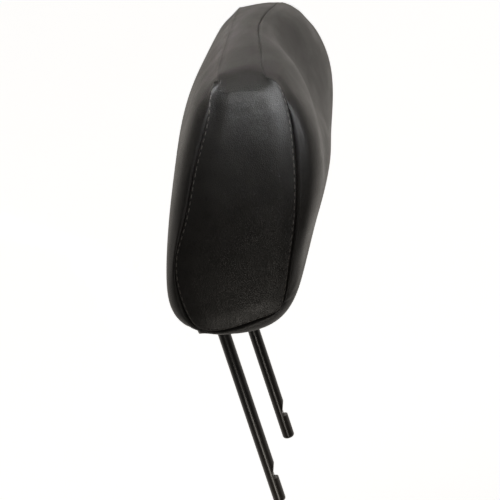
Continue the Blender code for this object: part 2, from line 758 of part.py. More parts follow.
def axis_empty(name, height):
    made = bpy.data.objects.new(name, None)
    made.location = (0.0, 0.0, height * MM)
    bpy.context.scene.collection.objects.link(made)
    return made


def main():
    clear_scene()
    base = axis_empty("post_base", 0.0)
    pivot = axis_empty("tilt_axis", PIVOT_HEIGHT)
    post_paint = material("post_paint", (0.02, 0.019, 0.018), 0.38, 0.0)
    steel = material("plated_steel", (0.52, 0.52, 0.5), 0.35, 1.0)
    nylon = material("nylon", (0.75, 0.73, 0.66), 0.5)
    board_wood = material("board_wood", (0.5, 0.36, 0.22), 0.7)
    pad_rubber = material("pad_rubber", (0.03, 0.03, 0.03), 0.8)
    foam = material("moulded_foam", (0.75, 0.68, 0.45), 0.95)
    leather = material("leather", (0.04, 0.036, 0.033), 0.5)
    plastic = material("black_plastic", (0.03, 0.03, 0.03), 0.45)

    for name, side in SIDES:
        build_post(name + "_post", side, post_paint, base)
    build_cross_tube(post_paint, base)
    build_stop_collar(steel, base)
    for name, side in SIDES:
        build_bush(name + "_bush", side, nylon, pivot)
        build_clamp(name + "_clamp", side, steel, pivot)
    build_fasteners(steel, pivot)
    build_board(board_wood, pad_rubber, pivot)
    points, panels = skin_mesh()
    panels, normals = wind_outwards(points, panels)
    tree = BVHTree.FromPolygons(points, [face for group in panels.values() for face in group])
    for name, side in SIDES:
        build_bezel(name + "_slot_bezel", side, tree, plastic, pivot)
    recess = build_closure_strips(plastic, pivot)
    build_foam(points, normals, panels, recess, foam, pivot)
    build_covers(points, normals, panels, leather, pivot)


main()
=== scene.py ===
"""Looks of the chair headrest: leather panels with seams and stitching, foam, slot bezels and finishes.

Sizes are in millimetres until they enter a mesh, which is in metres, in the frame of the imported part.
"""

import json
import math

import bmesh
import bpy
import numpy as np
from mathutils import Matrix, Vector
from mathutils.bvhtree import BVHTree
from mathutils.kdtree import KDTree


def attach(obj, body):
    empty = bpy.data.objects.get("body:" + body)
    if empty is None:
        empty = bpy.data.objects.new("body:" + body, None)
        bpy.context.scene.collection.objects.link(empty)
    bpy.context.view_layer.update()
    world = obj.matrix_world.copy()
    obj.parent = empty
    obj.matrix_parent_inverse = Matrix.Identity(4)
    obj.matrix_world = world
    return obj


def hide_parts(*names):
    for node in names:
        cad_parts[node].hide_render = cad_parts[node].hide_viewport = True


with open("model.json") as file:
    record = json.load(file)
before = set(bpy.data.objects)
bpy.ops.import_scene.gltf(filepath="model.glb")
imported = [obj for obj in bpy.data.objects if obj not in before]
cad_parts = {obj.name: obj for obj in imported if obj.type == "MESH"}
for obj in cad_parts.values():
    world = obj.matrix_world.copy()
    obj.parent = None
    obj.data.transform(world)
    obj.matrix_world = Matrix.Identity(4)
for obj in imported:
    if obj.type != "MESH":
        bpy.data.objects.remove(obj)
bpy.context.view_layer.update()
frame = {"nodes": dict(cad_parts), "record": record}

MM = 0.001

# ---------------------------------------------------------------- the pillow's skin

# The pillow has its own axes, depth and height, which lean forward from here
LEAN = math.radians(23.0)
LEAN_Y = -8.0
LEAN_Z = 167.0

# Control points round the pillow, from the rear bottom edge under it, up the front, over the top and
# down the back: centre (depth, height), wing (x, depth, height) and side seam (x, depth, height)
STATIONS = (
    ((14, -4), (100, 9, -2), (134, 18, 2)),
    ((-14, 3), (100, -16, 2), (134, -6, 7)),
    ((-40, 14), (100, -41, 8), (134, -30, 22)),
    ((-57, 34), (100, -58, 36), (134, -47, 28)),
    ((-62, 78), (100, -57, 78), (134, -46, 60)),
    ((-72, 119), (100, -66, 113), (134, -49, 105)),
    ((-55, 160), (115, -64, 167), (134, -42, 159)),
    ((-29, 199), (98, -32, 206), (131, -31, 198)),
    ((5, 222), (80, -10, 218), (120, -21, 210)),
    ((21, 209), (80, 26, 204), (122, 32, 204)),
    ((45, 180), (95, 42, 180), (131, 23, 179)),
    ((56, 135), (100, 47, 135), (134, 33, 137)),
    ((54, 88), (100, 51, 88), (134, 34, 91)),
    ((52, 37), (100, 48, 36), (134, 44, 59)),
    ((42, 4), (100, 43, 4), (134, 31, 19)),
)
INNER_X = 50.0
DISH_EDGE = {4: (-1, 0), 5: (-1, -1), 6: (7, -3), 7: (-10, 9), 8: (2, 2)}  # station: (depth, height)
SHOULDER = {8: 0.88, 9: 0.88}  # share of the seam's x, where it isn't the usual 0.99
COLUMNS = 9

# Stations of the front's lower edge and of the seams
BOTTOM_FRONT = 3.0
TOP_FRONT_SEAM = 8.0
TOP_REAR_SEAM = 9.0
CLOSURE_BOW = 0.42
SIDE_CROWN = 4.0

# Steps up the front, through the depth and across, and how much they crowd to the seams
FINE = (96, 44, 132)
FINE_PULL = 0.88
COARSE = (44, 20, 60)
COARSE_PULL = 0.25

# How far from the fold the panels are rounded
COVER_FOLD_REACH = 32.0
GUSSET_FOLD_REACH = 50.0

CLOTH_FRAMES = 20


def to_world(x, depth, height):
    return np.array(
        [
            x,
            LEAN_Y + depth * math.cos(LEAN) - height * math.sin(LEAN),
            LEAN_Z + depth * math.sin(LEAN) + height * math.cos(LEAN),
        ]
    )


def control_net():
    """Control points of the skin: a row for each station, and columns from the left to the right."""
    net = np.zeros((len(STATIONS), COLUMNS, 3))
    for row, (centre, wing, seam) in enumerate(STATIONS):
        lift = DISH_EDGE.get(row, (0, 0))
        inner = [(c + w) / 2 + up for c, w, up in zip(centre, wing[1:], lift)]
        shoulder = [0.8 * w + 0.2 * e for w, e in zip(wing[1:], seam[1:])]
        half = (
            (0.0, *centre),
            (INNER_X, *inner),
            wing,
            (seam[0] * SHOULDER.get(row, 0.99), *shoulder),
            seam,
        )
        for k, (x, depth, height) in enumerate(half):
            net[row, 4 - k] = to_world(-x, depth, height)
            net[row, 4 + k] = to_world(x, depth, height)
    return net


NET = control_net()


def loop_weights(t):
    """Weights of the stations at places t round the pillow: a closed uniform cubic B-spline."""
    t = np.mod(t, len(STATIONS))
    first = np.floor(t).astype(int)
    f = t - first
    parts = ((1 - f) ** 3, 3 * f**3 - 6 * f**2 + 4, -3 * f**3 + 3 * f**2 + 3 * f + 1, f**3)
    weights = np.zeros((len(t), len(STATIONS)))
    for k, part in enumerate(parts):
        weights[np.arange(len(t)), (first - 1 + k) % len(STATIONS)] += part / 6
    return weights


def across_weights(s):
    """Weights of the columns at places s from the left seam, 0, to the right seam, 1."""
    degree = 3
    inner = np.linspace(0, 1, COLUMNS - degree + 1)
    knots = np.concatenate([[0] * degree, inner, [1] * degree])
    s = np.clip(s, 0, 1 - 1e-9)
    basis = [((s >= a) & (s < b)).astype(float) for a, b in zip(knots[:-1], knots[1:])]
    for p in range(1, degree + 1):
        raised = []
        for i in range(len(basis) - 1):
            rise, fall = knots[i + p] - knots[i], knots[i + p + 1] - knots[i + 1]
            term = np.zeros_like(s)
            if rise > 0:
                term += (s - knots[i]) / rise * basis[i]
            if fall > 0:
                term += (knots[i + p + 1] - s) / fall * basis[i + 1]
            raised.append(term)
        basis = raised
    return np.stack(basis, 1)


def skin(t, s):
    """Points of the outer surface at stations t and places s, given as arrays of one shape."""
    t, s = np.broadcast_arrays(np.asarray(t, float), np.asarray(s, float))
    flat = np.einsum("ni,ijc,nj->nc", loop_weights(t.ravel()), NET, across_weights(s.ravel()))
    return flat.reshape(t.shape + (3,))


def closure(s):
    """Station of the line where the front and back covers meet under the pillow."""
    return -CLOSURE_BOW * (1 - np.abs(2 * s - 1) ** 4)


def crowded(count, pull):
    """Places from 0 to 1 that crowd towards both ends."""
    f = np.linspace(0, 1, count + 1)
    return f - pull * np.sin(2 * np.pi * f) / (2 * np.pi)


class Skin:
    """The whole skin as one closed mesh whose seams are shared by the panels that meet there."""

    def __init__(self, steps, pull):
        self.high, self.deep, self.wide = steps
        self.rows = 2 * (self.high + self.deep)
        self.up = crowded(self.high, pull)
        self.through = crowded(self.deep, pull)
        self.across = crowded(self.wide, pull)
        self.points = list(self.main_points().reshape(-1, 3))
        self.faces = {"front": [], "gusset": [], "back": []}
        self.main_faces()
        self.sides = [self.side_patch(0, -1), self.side_patch(self.wide, 1)]
        self.points = np.array(self.points)
        self.wind_outwards()

    def place(self, row):
        """(section, place in it) of a row: 0 bottom, 1 front, 2 top, 3 back."""
        for section, steps in enumerate((self.deep, self.high, self.deep, self.high)):
            if row < steps:
                return section, (self.through if section % 2 == 0 else self.up)[row]
            row -= steps
        return 3, 1.0

    def station(self, row, s):
        """Stations of a row at places s across."""
        section, f = self.place(row)
        end = len(STATIONS) + closure(s)
        starts = (closure(s), BOTTOM_FRONT, TOP_FRONT_SEAM, TOP_REAR_SEAM)
        ends = (BOTTOM_FRONT, TOP_FRONT_SEAM, TOP_REAR_SEAM, end)
        return starts[section] + (ends[section] - starts[section]) * f

    def main_points(self):
        """Points of the main grid, spaced across by true distance along each row."""
        dense = np.linspace(0, 1, 401)
        out = np.zeros((self.rows, self.wide + 1, 3))
        for row in range(self.rows):
            line = skin(self.station(row, dense), dense)
            run = np.concatenate([[0], np.cumsum(np.linalg.norm(np.diff(line, axis=0), axis=1))])
            s = np.interp(self.across * run[-1], run, dense)
            out[row] = skin(self.station(row, s), s)
        return out

    def panel(self, row):
        """Name of the panel that a row of faces belongs to."""
        if row < self.deep + self.high:
            return "front"
        return "gusset" if row < 2 * self.deep + self.high else "back"

    def main_faces(self):
        n = self.wide + 1
        for row in range(self.rows):
            after = (row + 1) % self.rows
            for c in range(self.wide):
                quad = (row * n + c, row * n + c + 1, after * n + c + 1, after * n + c)
                self.faces[self.panel(row)].append(quad)

    def side_patch(self, column, side):
        """Fills one side's opening with a crowned patch and returns the grid of its point numbers."""
        n = self.wide + 1
        top = self.deep + self.high
        grid = np.zeros((self.high + 1, self.deep + 1), int)
        for k in range(self.high + 1):
            grid[k, 0] = (self.deep + k) * n + column
            grid[k, -1] = (self.rows - k) % self.rows * n + column
        for k in range(self.deep + 1):
            grid[0, k] = (self.deep - k) * n + column
            grid[-1, k] = (top + k) * n + column
        edge = np.array([self.points[v] for v in grid.ravel()]).reshape(grid.shape + (3,))
        v = self.up[1:-1, None, None]
        u = self.through[None, 1:-1, None]
        sides = (1 - u) * edge[1:-1, :1] + u * edge[1:-1, -1:]
        ends = (1 - v) * edge[:1, 1:-1] + v * edge[-1:, 1:-1]
        corners = (1 - v) * ((1 - u) * edge[0, 0] + u * edge[0, -1])
        corners = corners + v * ((1 - u) * edge[-1, 0] + u * edge[-1, -1])
        inner = sides + ends - corners
        inner[..., 0] += side * SIDE_CROWN * (4 * u * (1 - u) * np.sin(np.pi * v))[..., 0]
        start = len(self.points)
        grid[1:-1, 1:-1] = start + np.arange(inner.shape[0] * inner.shape[1]).reshape(inner.shape[:2])
        self.points += list(inner.reshape(-1, 3))
        for a in range(self.high):
            for b in range(self.deep):
                quad = (grid[a, b], grid[a, b + 1], grid[a + 1, b + 1], grid[a + 1, b])
                self.faces["gusset"].append(tuple(int(x) for x in quad))
        return grid

    def all_faces(self):
        return [face for group in self.faces.values() for face in group]

    def wind_outwards(self):
        """Turns every face outwards and notes the edges."""
        mesh = bpy.data.meshes.new("skin")
        mesh.from_pydata([Vector(p) for p in self.points], [], self.all_faces())
        shape = bmesh.new()
        shape.from_mesh(mesh)
        bmesh.ops.recalc_face_normals(shape, faces=shape.faces)
        wound = iter([tuple(v.index for v in face.verts) for face in shape.faces])
        self.faces = {name: [next(wound) for _ in group] for name, group in self.faces.items()}
        self.edges = np.array([[v.index for v in edge.verts] for edge in shape.edges])
        shape.free()
        bpy.data.meshes.remove(mesh)

    def neighbour_mean(self, values):
        """The mean of the values at each point's neighbours."""
        a, b = self.edges[:, 0], self.edges[:, 1]
        count = np.bincount(np.concatenate([a, b]), minlength=len(self.points))[:, None]
        total = np.zeros_like(values)
        np.add.at(total, a, values[b])
        np.add.at(total, b, values[a])
        return total / count

    def normals(self):
        """Unit normals out of the skin, from the faces round each point."""
        quads = np.array(self.all_faces())
        corner = self.points[quads]
        face = np.cross(corner[:, 2] - corner[:, 0], corner[:, 3] - corner[:, 1])
        out = np.zeros_like(self.points)
        for k in range(4):
            np.add.at(out, quads[:, k], face)
        return out / np.linalg.norm(out, axis=1)[:, None]

    def seam_points(self):
        """Numbers of the points on the seams."""
        n = self.wide + 1
        grid = np.arange(self.rows * n).reshape(self.rows, n)
        top = self.deep + self.high
        front_and_bottom = np.arange(0, top + 1)
        back = np.concatenate([np.arange(top + self.deep, self.rows), [0]])
        chosen = [grid[rows, c] for rows in (front_and_bottom, back) for c in (0, self.wide)]
        chosen += [grid[top], grid[top + self.deep], grid[0]]
        return np.unique(np.concatenate(chosen))

    def spread(self, values, other):
        """Values at other's points from values at this skin's points."""
        n = self.wide + 1
        main = values[: self.rows * n].reshape(self.rows, n, -1)
        row_at = []
        start = (0, self.deep, self.deep + self.high, 2 * self.deep + self.high)
        size = (self.deep, self.high, self.deep, self.high)
        for row in range(other.rows):
            section, f = other.place(row)
            own = self.through if section % 2 == 0 else self.up
            row_at.append(start[section] + np.interp(f, own, np.arange(size[section] + 1)))
        col_at = np.interp(other.across, self.across, np.arange(n))
        out = np.zeros((len(other.points), values.shape[1]))
        smooth = bicubic(main, np.array(row_at), col_at, wrap=True)
        out[: other.rows * (other.wide + 1)] = smooth.reshape(-1, values.shape[1])
        up_at = np.interp(other.up, self.up, np.arange(self.high + 1))
        deep_at = np.interp(other.through, self.through, np.arange(self.deep + 1))
        for own, theirs in zip(self.sides, other.sides):
            patch = bicubic(values[own], up_at, deep_at, wrap=False)
            out[theirs[1:-1, 1:-1]] = patch[1:-1, 1:-1]
        return out


def bicubic(grid, rows, columns, wrap):
    """Smooth values between a grid's points, by Catmull-Rom along each way."""

    def weights(f):
        return np.stack(
            [
                0.5 * (-(f**3) + 2 * f**2 - f),
                0.5 * (3 * f**3 - 5 * f**2 + 2),
                0.5 * (-3 * f**3 + 4 * f**2 + f),
                0.5 * (f**3 - f**2),
            ]
        )

    def along(values, at, closed):
        first = np.floor(at).astype(int)
        if not closed:
            first = np.minimum(first, len(values) - 2)
        out = 0
        for k, w in enumerate(weights(at - first)):
            index = first - 1 + k
            index = index % len(values) if closed else np.clip(index, 0, len(values) - 1)
            out = out + w[:, None, None] * values[index]
        return out

    part = along(grid, rows, wrap)
    return along(part.transpose(1, 0, 2), columns, False).transpose(1, 0, 2)


def seam_lines():
    """Dense points along each seam, by name."""
    count = 1000
    start = closure(np.array([0.0]))[0]
    flap = np.linspace(start, TOP_FRONT_SEAM, count)
    rear = np.linspace(TOP_REAR_SEAM, len(STATIONS) + start, count)
    across = np.linspace(0, 1, count)
    return {
        "left_front": skin(flap, 0.0),
        "left_back": skin(rear, 0.0),
        "right_front": skin(flap, 1.0),
        "right_back": skin(rear, 1.0),
        "top_front": skin(TOP_FRONT_SEAM, across),
        "top_rear": skin(TOP_REAR_SEAM, across),
        "closure": skin(closure(across), across),
    }


def distance_to(points, lines):
    """Distance in mm from each point to the nearest point of the lines."""
    dots = np.concatenate(lines)
    tree = KDTree(len(dots))
    for k, dot in enumerate(dots):
        tree.insert(dot, k)
    tree.balance()
    return np.array([tree.find(p)[2] for p in points])


def soften(shape, held, near, turns=80):
    """Rounds the fold where the side panels run on into the top strip."""
    reach = np.full(len(shape.points), COVER_FOLD_REACH)
    reach[np.unique(np.array(shape.faces["gusset"]))] = GUSSET_FOLD_REACH
    pull = np.clip(1 - near / reach, 0, 1) ** 1.3
    pull[held] = 0
    for _ in range(turns):
        shape.points += pull[:, None] * 0.6 * (shape.neighbour_mean(shape.points) - shape.points)


# ---------------------------------------------------------------- cloth


def inflate(shape, held, limit):
    """How far each point of the skin moves, in mm, when the leather is blown out between its seams."""
    mesh = bpy.data.meshes.new("cloth")
    mesh.from_pydata([Vector(p) * MM for p in shape.points], [], shape.all_faces())
    cloth = bpy.data.objects.new("cloth", mesh)
    bpy.context.scene.collection.objects.link(cloth)
    pinned = cloth.vertex_groups.new(name="seams")
    pinned.add([int(v) for v in held], 1.0, "REPLACE")
    step = cloth.modifiers.new("Cloth", "CLOTH")
    settings = step.settings
    settings.quality = 6
    settings.mass = 0.3
    settings.tension_stiffness = 20
    settings.compression_stiffness = 20
    settings.shear_stiffness = 8
    settings.bending_stiffness = 4.0
    settings.vertex_group_mass = "seams"
    settings.use_pressure = True
    settings.uniform_pressure_force = 4.0
    settings.shrink_min = 0.004
    settings.effector_weights.gravity = 0
    step.collision_settings.use_collision = False
    step.point_cache.frame_start = 1
    step.point_cache.frame_end = CLOTH_FRAMES
    scene = bpy.context.scene
    for number in range(1, CLOTH_FRAMES + 1):
        scene.frame_set(number)
    done = cloth.evaluated_get(bpy.context.evaluated_depsgraph_get()).data
    moved = np.zeros(len(shape.points) * 3)
    done.vertices.foreach_get("co", moved)
    moved = moved.reshape(-1, 3) / MM - shape.points
    bpy.data.objects.remove(cloth)
    bpy.data.meshes.remove(mesh)
    scene.frame_set(1)
    size = np.linalg.norm(moved, axis=1)
    return moved * (np.tanh(size / limit) * limit / np.maximum(size, 1e-9))[:, None]


def blurred(shape, values, turns):
    """The values without their fine detail."""
    for _ in range(turns):
        values = 0.5 * values + 0.5 * shape.neighbour_mean(values)
    return values


# ---------------------------------------------------------------- materials


class Nodes:
    """Short names for building a Principled material out of nodes."""

    def __init__(self, name, **constants):
        self.material = bpy.data.materials.new(name)
        self.material.use_nodes = True
        self.tree = self.material.node_tree
        self.shader = self.tree.nodes["Principled BSDF"]
        for socket, value in constants.items():
            self.shader.inputs[socket.replace("_", " ")].default_value = value
        self.where = self.tree.nodes.new("ShaderNodeTexCoord").outputs["Object"]

    def link(self, source, target):
        self.tree.links.new(source, target)

    def stretched(self, scale):
        """The object's coordinates, scaled along each axis."""
        made = self.tree.nodes.new("ShaderNodeMapping")
        made.inputs["Scale"].default_value = scale
        self.link(self.where, made.inputs["Vector"])
        return made.outputs["Vector"]

    def noise(self, scale, detail=4.0, roughness=0.5, distortion=0.0, where=None):
        made = self.tree.nodes.new("ShaderNodeTexNoise")
        made.inputs["Scale"].default_value = scale
        made.inputs["Detail"].default_value = detail
        made.inputs["Roughness"].default_value = roughness
        made.inputs["Distortion"].default_value = distortion
        self.link(where or self.where, made.inputs["Vector"])
        return made.outputs["Fac"]

    def cells(self, scale, feature="DISTANCE_TO_EDGE", where=None):
        made = self.tree.nodes.new("ShaderNodeTexVoronoi")
        made.feature = feature
        made.inputs["Scale"].default_value = scale
        self.link(where or self.where, made.inputs["Vector"])
        return made.outputs["Distance"]

    def ramp(self, value, low, high, out_low=0.0, out_high=1.0):
        made = self.tree.nodes.new("ShaderNodeMapRange")
        made.interpolation_type = "SMOOTHSTEP"
        numbers = {"From Min": low, "From Max": high, "To Min": out_low, "To Max": out_high}
        for key, number in numbers.items():
            made.inputs[key].default_value = number
        self.link(value, made.inputs["Value"])
        return made.outputs["Result"]

    def math(self, operation, a, b):
        made = self.tree.nodes.new("ShaderNodeMath")
        made.operation = operation
        for socket, value in zip(made.inputs, (a, b)):
            if isinstance(value, (int, float)):
                socket.default_value = value
            else:
                self.link(value, socket)
        return made.outputs["Value"]

    def mixed(self, value, first, second):
        """A mix of two colours, each three numbers or a node's output."""
        made = self.tree.nodes.new("ShaderNodeMix")
        made.data_type = "RGBA"
        self.link(value, made.inputs["Factor"])
        for key, colour in (("A", first), ("B", second)):
            if isinstance(colour, tuple):
                made.inputs[key].default_value = (*colour, 1)
            else:
                self.link(colour, made.inputs[key])
        return made.outputs["Result"]

    def attribute(self, name):
        made = self.tree.nodes.new("ShaderNodeAttribute")
        made.attribute_name = name
        return made.outputs["Fac"]

    def axis(self, name):
        made = self.tree.nodes.new("ShaderNodeSeparateXYZ")
        self.link(self.where, made.inputs["Vector"])
        return made.outputs[name]

    def paint(self, colour=None, roughness=None):
        if colour:
            self.link(colour, self.shader.inputs["Base Color"])
        if roughness:
            self.link(roughness, self.shader.inputs["Roughness"])

    def bump(self, layers):
        """Layers of (height, strength, depth in metres), finest last."""
        normal = None
        for height, strength, depth in layers:
            made = self.tree.nodes.new("ShaderNodeBump")
            made.inputs["Strength"].default_value = strength
            made.inputs["Distance"].default_value = depth
            self.link(height, made.inputs["Height"])
            if normal:
                self.link(normal, made.inputs["Normal"])
            normal = made.outputs["Normal"]
        self.link(normal, self.shader.inputs["Normal"])


def leather():
    """Black grained leather, a little paler where its edges and ridges are rubbed."""
    tint = (0.95, 0.9, 0.84, 1)
    n = Nodes("leather", Sheen_Weight=0.06, Sheen_Roughness=0.4, Sheen_Tint=tint, Specular_IOR_Level=0.5)
    shade = n.mixed(n.ramp(n.noise(14, 3), 0.35, 0.7), (0.0135, 0.0125, 0.012), (0.0185, 0.017, 0.0155))
    pebble = n.cells(820)
    shade = n.mixed(n.ramp(pebble, 0.0, 0.16), (0.007, 0.0065, 0.006), shade)
    rubbed = n.ramp(n.attribute("rubbed"), 0.0, 1.0)
    patches = n.ramp(n.noise(60, 4), 0.3, 0.8)
    shade = n.mixed(n.math("MULTIPLY", rubbed, patches), shade, (0.026, 0.0238, 0.0215))
    n.paint(shade, n.ramp(n.noise(45, 4), 0.25, 0.75, 0.33, 0.44))
    wrinkles = n.noise(120, 5, 0.55, 0.4)
    grain = n.math("POWER", n.ramp(pebble, 0.0, 0.32), 0.7)
    pores = n.noise(1500, 3, 0.6)
    n.bump(((wrinkles, 0.35, 0.0006), (grain, 0.5, 0.00016), (pores, 0.25, 0.00005)))
    return n.material


def thread():
    n = Nodes("thread", Roughness=0.75, Sheen_Weight=0.3)
    twist = n.noise(2600, 2, where=n.stretched((1, 1, 0.35)))
    n.paint(n.mixed(twist, (0.07, 0.062, 0.055), (0.15, 0.135, 0.12)))
    n.bump(((twist, 0.5, 0.0001),))
    return n.material


def post_paint():
    """Black gloss paint with lengthwise scuffs, paler and browner towards the tips."""
    n = Nodes("post_paint", Coat_Weight=0.35, Coat_Roughness=0.18, Metallic=0.0)
    toward_tip = n.ramp(n.axis("Z"), 0.0, 0.11, 1.0, 0.0)
    shade = n.mixed(toward_tip, (0.012, 0.0115, 0.011), (0.042, 0.035, 0.029))
    scuffs = n.ramp(n.noise(240, 5, 0.7, where=n.stretched((1, 1, 0.12))), 0.62, 0.74)
    shade = n.mixed(n.math("MULTIPLY", scuffs, 0.5), shade, (0.09, 0.08, 0.07))
    n.paint(shade, n.ramp(n.noise(70, 3), 0.3, 0.7, 0.26, 0.36))
    n.bump(((n.noise(900, 2), 0.12, 0.00008),))
    return n.material


def plated_steel():
    n = Nodes("plated_steel", Metallic=1.0)
    streak = n.noise(300, 4, 0.6, where=n.stretched((0.08, 1, 1)))
    n.paint(
        n.mixed(n.noise(40, 3), (0.46, 0.46, 0.43), (0.62, 0.61, 0.57)),
        n.ramp(streak, 0.3, 0.7, 0.24, 0.42),
    )
    n.bump(((streak, 0.15, 0.00005),))
    return n.material


def nylon():
    n = Nodes("nylon", Subsurface_Weight=0.1)
    n.paint(
        n.mixed(n.noise(90, 3), (0.62, 0.60, 0.53), (0.75, 0.73, 0.66)),
        n.ramp(n.noise(500, 2), 0.3, 0.7, 0.42, 0.56),
    )
    n.bump(((n.noise(1200, 2), 0.1, 0.00005),))
    return n.material


def plywood():
    n = Nodes("plywood")
    grain = n.noise(70, 5, 0.6, 1.2, where=n.stretched((0.12, 1, 1)))
    ply = n.noise(520, 0, where=n.stretched((0.02, 1, 0.42)))
    wood = n.mixed(grain, (0.34, 0.22, 0.12), (0.60, 0.44, 0.27))
    layered = n.mixed(n.ramp(ply, 0.45, 0.55, 0.0, 0.35), wood, (0.25, 0.16, 0.09))
    n.paint(layered, n.ramp(grain, 0.3, 0.7, 0.6, 0.8))
    n.bump(((grain, 0.3, 0.0002),))
    return n.material


def foam():
    n = Nodes("foam", Roughness=0.95, Sheen_Weight=0.3)
    pores = n.cells(1400, "F1")
    n.paint(n.mixed(n.ramp(pores, 0.1, 0.6), (0.42, 0.36, 0.20), (0.80, 0.73, 0.50)))
    n.bump(((pores, 0.7, 0.0004),))
    return n.material


def moulded(name, dark, light, low, high):
    """Moulded plastic or rubber between two shades and two roughnesses."""
    n = Nodes(name)
    n.paint(n.mixed(n.noise(120, 3), dark, light), n.ramp(n.noise(300, 3), 0.3, 0.7, low, high))
    n.bump(((n.cells(1800, "F1"), 0.2, 0.00008),))
    return n.material


# ---------------------------------------------------------------- building pieces


def closed_mesh(name, points, faces):
    """A mesh from points in mm, with its faces turned outwards."""
    mesh = bpy.data.meshes.new(name)
    mesh.from_pydata([Vector(p) * MM for p in points], [], faces)
    shape = bmesh.new()
    shape.from_mesh(mesh)
    bmesh.ops.recalc_face_normals(shape, faces=shape.faces)
    shape.to_mesh(mesh)
    shape.free()
    return mesh


def new_piece(name, points, faces, finish, body="pillow"):
    """A smooth-shaded piece from points in mm."""
    mesh = closed_mesh(name, points, faces)
    mesh.shade_smooth()
    mesh.materials.append(finish)
    made = bpy.data.objects.new(name, mesh)
    bpy.context.scene.collection.objects.link(made)
    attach(made, body)
    return made


def panel_shell(name, places, faces, normals, attribute, finish, thickness=1.4, draw_back=0.06):
    """One leather panel with its own thickness, whose edges stand just clear of the seam."""
    used = sorted({v for face in faces for v in face})
    number = {v: k for k, v in enumerate(used)}
    sides = set()
    for face in faces:
        sides.update(zip(face, face[1:] + face[:1]))
    border = [(a, b) for a, b in sides if (b, a) not in sides]
    border.sort()
    on_border = {v for edge in border for v in edge}
    toward = {v: np.zeros(3) for v in on_border}
    for face in faces:
        for v in face:
            if v in toward:
                toward[v] += np.mean([places[w] for w in face], axis=0) - places[v]
    outer = places[used].copy()
    for v in on_border:
        outer[number[v]] += toward[v] / np.linalg.norm(toward[v]) * draw_back
    inner = outer - normals[used] * thickness
    count = len(used)
    solid = [tuple(number[v] for v in face) for face in faces]
    solid += [tuple(number[v] + count for v in reversed(face)) for face in faces]
    solid += [(number[b], number[a], number[a] + count, number[b] + count) for a, b in border]
    made = new_piece(name, np.concatenate([outer, inner]), solid, finish)
    values = np.tile(attribute[used], 2).astype(np.float32)
    layer = made.data.attributes.new("rubbed", "FLOAT", "POINT")
    layer.data.foreach_set("value", values)
    return made


def capsule(start, end, radius, sides=6, caps=2):
    """Points and faces of a short round-ended rod."""
    axis = end - start
    axis = axis / np.linalg.norm(axis)
    side = np.cross(axis, [0.3, 0.5, 0.8])
    side /= np.linalg.norm(side)
    other = np.cross(axis, side)
    rings = []
    for k in range(caps):
        a = (k + 1) / (caps + 1) * math.pi / 2
        rings.append((start - axis * radius * math.cos(a), radius * math.sin(a)))
    rings.append((start, radius))
    rings.append((end, radius))
    for k in reversed(range(caps)):
        a = (k + 1) / (caps + 1) * math.pi / 2
        rings.append((end + axis * radius * math.cos(a), radius * math.sin(a)))
    points = [start - axis * radius]
    for centre, r in rings:
        for k in range(sides):
            a = 2 * math.pi * k / sides
            points.append(centre + (side * math.cos(a) + other * math.sin(a)) * r)
    points.append(end + axis * radius)
    faces = [(0, 1 + (k + 1) % sides, 1 + k) for k in range(sides)]
    for ring in range(len(rings) - 1):
        a, b = 1 + ring * sides, 1 + (ring + 1) * sides
        faces += [(a + k, a + (k + 1) % sides, b + (k + 1) % sides, b + k) for k in range(sides)]
    last = 1 + (len(rings) - 1) * sides
    faces += [(last + k, last + (k + 1) % sides, len(points) - 1) for k in range(sides)]
    return points, faces


def keep_modified(piece):
    """Turns a piece's modifiers into its own mesh."""
    bpy.context.view_layer.update()
    done = bpy.data.meshes.new_from_object(piece.evaluated_get(bpy.context.evaluated_depsgraph_get()))
    piece.modifiers.clear()
    old = piece.data
    piece.data = done
    bpy.data.meshes.remove(old)


def even_places(line, pitch, start=0.0, end=0.0):
    """Points every pitch mm along a line, and the line's direction there."""
    run = np.concatenate([[0], np.cumsum(np.linalg.norm(np.diff(line, axis=0), axis=1))])
    at = np.arange(start, run[-1] - end, pitch)
    points = np.stack([np.interp(at, run, line[:, k]) for k in range(3)], 1)
    ahead = np.stack([np.interp(at + 1, run, line[:, k]) for k in range(3)], 1)
    back = np.stack([np.interp(at - 1, run, line[:, k]) for k in range(3)], 1)
    return points, (ahead - back) / np.linalg.norm(ahead - back, axis=1)[:, None]


STITCH_PITCH = 5.6
STITCH_LENGTH = 2.6
STITCH_RADIUS = 0.32
STITCH_INSET = 1.5
STITCH_LIFT = 0.12
STITCH_END_GAP = 8.0


def side_stitching(name, lines, tree, centre, finish):
    """Stitches laid along side seams, on the gusset's edge."""
    points, faces = [], []
    for line in lines:
        for place, along in zip(*even_places(line, STITCH_PITCH, STITCH_END_GAP, STITCH_END_GAP)):
            inward = centre - place
            inward -= along * (inward @ along)
            inward[0] = 0
            inward /= np.linalg.norm(inward)
            found = tree.find_nearest(Vector((place + inward * STITCH_INSET) * MM))
            spot = np.array(found[0]) / MM
            out = np.array(found[1])
            along = along - out * (along @ out)
            along /= np.linalg.norm(along)
            middle = spot + out * STITCH_LIFT
            half = along * STITCH_LENGTH / 2
            rod, rod_faces = capsule(middle - half, middle + half, STITCH_RADIUS)
            base = len(points)
            points += rod
            faces += [tuple(base + v for v in face) for face in rod_faces]
    return new_piece(name, points, faces, finish)


# ---------------------------------------------------------------- the pillow


def smooth_fall(distance, reach):
    """1 at a seam, falling smoothly to 0 at reach."""
    f = np.clip(1 - distance / reach, 0, 1)
    return f * f * (3 - 2 * f)


def roll(distance, depth, width):
    """Depth of a panel's rounded edge below the rest of the panel."""
    f = np.clip(1 - distance / width, 0, 1)
    return depth * (1 - np.sqrt(1 - f**2))


# How far the cloth may move a point, how much of that is used, and where it fades to the fold
SWELL_LIMIT = 2.5
SWELL_BROAD = 0.3
SWELL_DETAIL = 0.5
SWELL_FADE = 30.0

